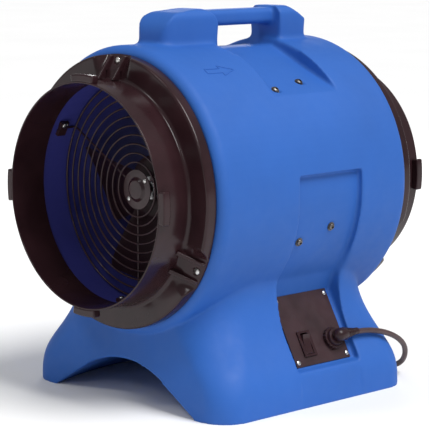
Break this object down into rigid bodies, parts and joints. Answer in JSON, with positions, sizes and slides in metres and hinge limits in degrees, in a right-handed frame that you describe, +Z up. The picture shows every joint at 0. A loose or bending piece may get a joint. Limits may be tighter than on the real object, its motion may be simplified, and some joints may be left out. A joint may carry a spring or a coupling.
{
  "type": "portable air mover",
  "caption": "Portable axial air mover: moulded blue housing on a waisted foot, top handle, duct collars and wire guards at both ends, motor-driven fan, rocker switch and mains cord.",
  "frame": {"origin": "on the floor under the middle of the housing, cord left out", "axes": "+Z up; the fan axis runs along Y at 295 mm above the floor, air goes in at the front (-Y) and out at the back (+Y); +X is the side with the switch and the cord"},
  "size_m": [0.409, 0.6149, 0.541],
  "materials": {
    "housing_plastic": "rotationally moulded polyethylene, satin blue with a fine pebble grain",
    "collar_plastic": "moulded black plastic with a soft gloss",
    "guard_coating": "steel wire with a black powder coat",
    "fan_plastic": "glass-filled black plastic",
    "plate_black": "sheet steel with a black powder coat",
    "switch_plastic": "black switch plastic",
    "gland_plastic": "black nylon",
    "cord_jacket": "black flexible cord jacket",
    "brass": "plain brass",
    "capacitor_case": "drawn aluminium can",
    "black_rubber": "black rubber",
    "motor_paint": "black enamel on rolled steel",
    "motor_casting": "die-cast aluminium",
    "lamination_steel": "stacked electrical steel",
    "copper_wire": "varnished copper wire",
    "bright_steel": "ground steel",
    "arm_steel": "pressed steel, black coated",
    "zinc_fastener": "bright zinc-plated steel"
  },
  "bodies": {
    "frame": {"bearing_outer_rings": "bright_steel", "capacitor": "capacitor_case", "capacitor_strap": "arm_steel", "capacitor_strap_screw": "zinc_fastener", "cord_coil": "cord_jacket", "front_collar": "collar_plastic", "front_collar_screws": "zinc_fastener", "front_end_bell": "motor_casting", "front_guard": "guard_coating", "front_guard_clip_screws": "zinc_fastener", "front_guard_clips": "guard_coating", "front_guard_rods": "guard_coating", "gland_body": "gland_plastic", "gland_locknut": "gland_plastic", "gland_sleeve": "gland_plastic", "guard_rivets": "zinc_fastener", "housing": "housing_plastic", "lead_grommet": "black_rubber", "motor_arm_bolts": "zinc_fastener", "motor_arm_lower_left": "arm_steel", "motor_arm_lower_right": "arm_steel", "motor_arm_nuts": "zinc_fastener", "motor_arm_shoe_screws": "zinc_fastener", "motor_arm_upper_left": "arm_steel", "motor_arm_upper_right": "arm_steel", "motor_arm_washers": "zinc_fastener", "motor_lead": "cord_jacket", "motor_shell": "motor_paint", "motor_through_bolts": "zinc_fastener", "motor_through_nuts": "zinc_fastener", "plug_body": "cord_jacket", "plug_prongs": "brass", "power_cord": "cord_jacket", "rear_collar": "collar_plastic", "rear_collar_screws": "zinc_fastener", "rear_end_bell": "motor_casting", "rear_guard": "guard_coating", "rear_guard_clip_screws": "zinc_fastener", "rear_guard_clips": "guard_coating", "rear_guard_rods": "guard_coating", "stator_core": "lamination_steel", "stator_windings": "copper_wire", "switch_body": "switch_plastic", "switch_plate": "plate_black", "switch_plate_screws": "zinc_fastener"},
    "fan_rotor": {"impeller": "fan_plastic", "hub_bushing": "bright_steel", "hub_set_screws": "zinc_fastener", "motor_shaft": "bright_steel", "rotor_core": "lamination_steel", "bearing_inner_rings": "bright_steel", "bearing_balls": "bright_steel"},
    "rocker": {"switch_rocker": "switch_plastic"}
  },
  "joints": [
    {"name": "fan_spin", "type": "hinge", "parent": "frame", "child": "fan_rotor", "pos_m": [0, 0, 0.295], "axis": [0, 1, 0], "continuous": true},
    {"name": "rocker_press", "type": "hinge", "parent": "frame", "child": "rocker", "pos_m": [0.17119, 0.0025, 0.07991], "axis": [0, -1, 0], "range_deg": [0, 22]}
  ]
}
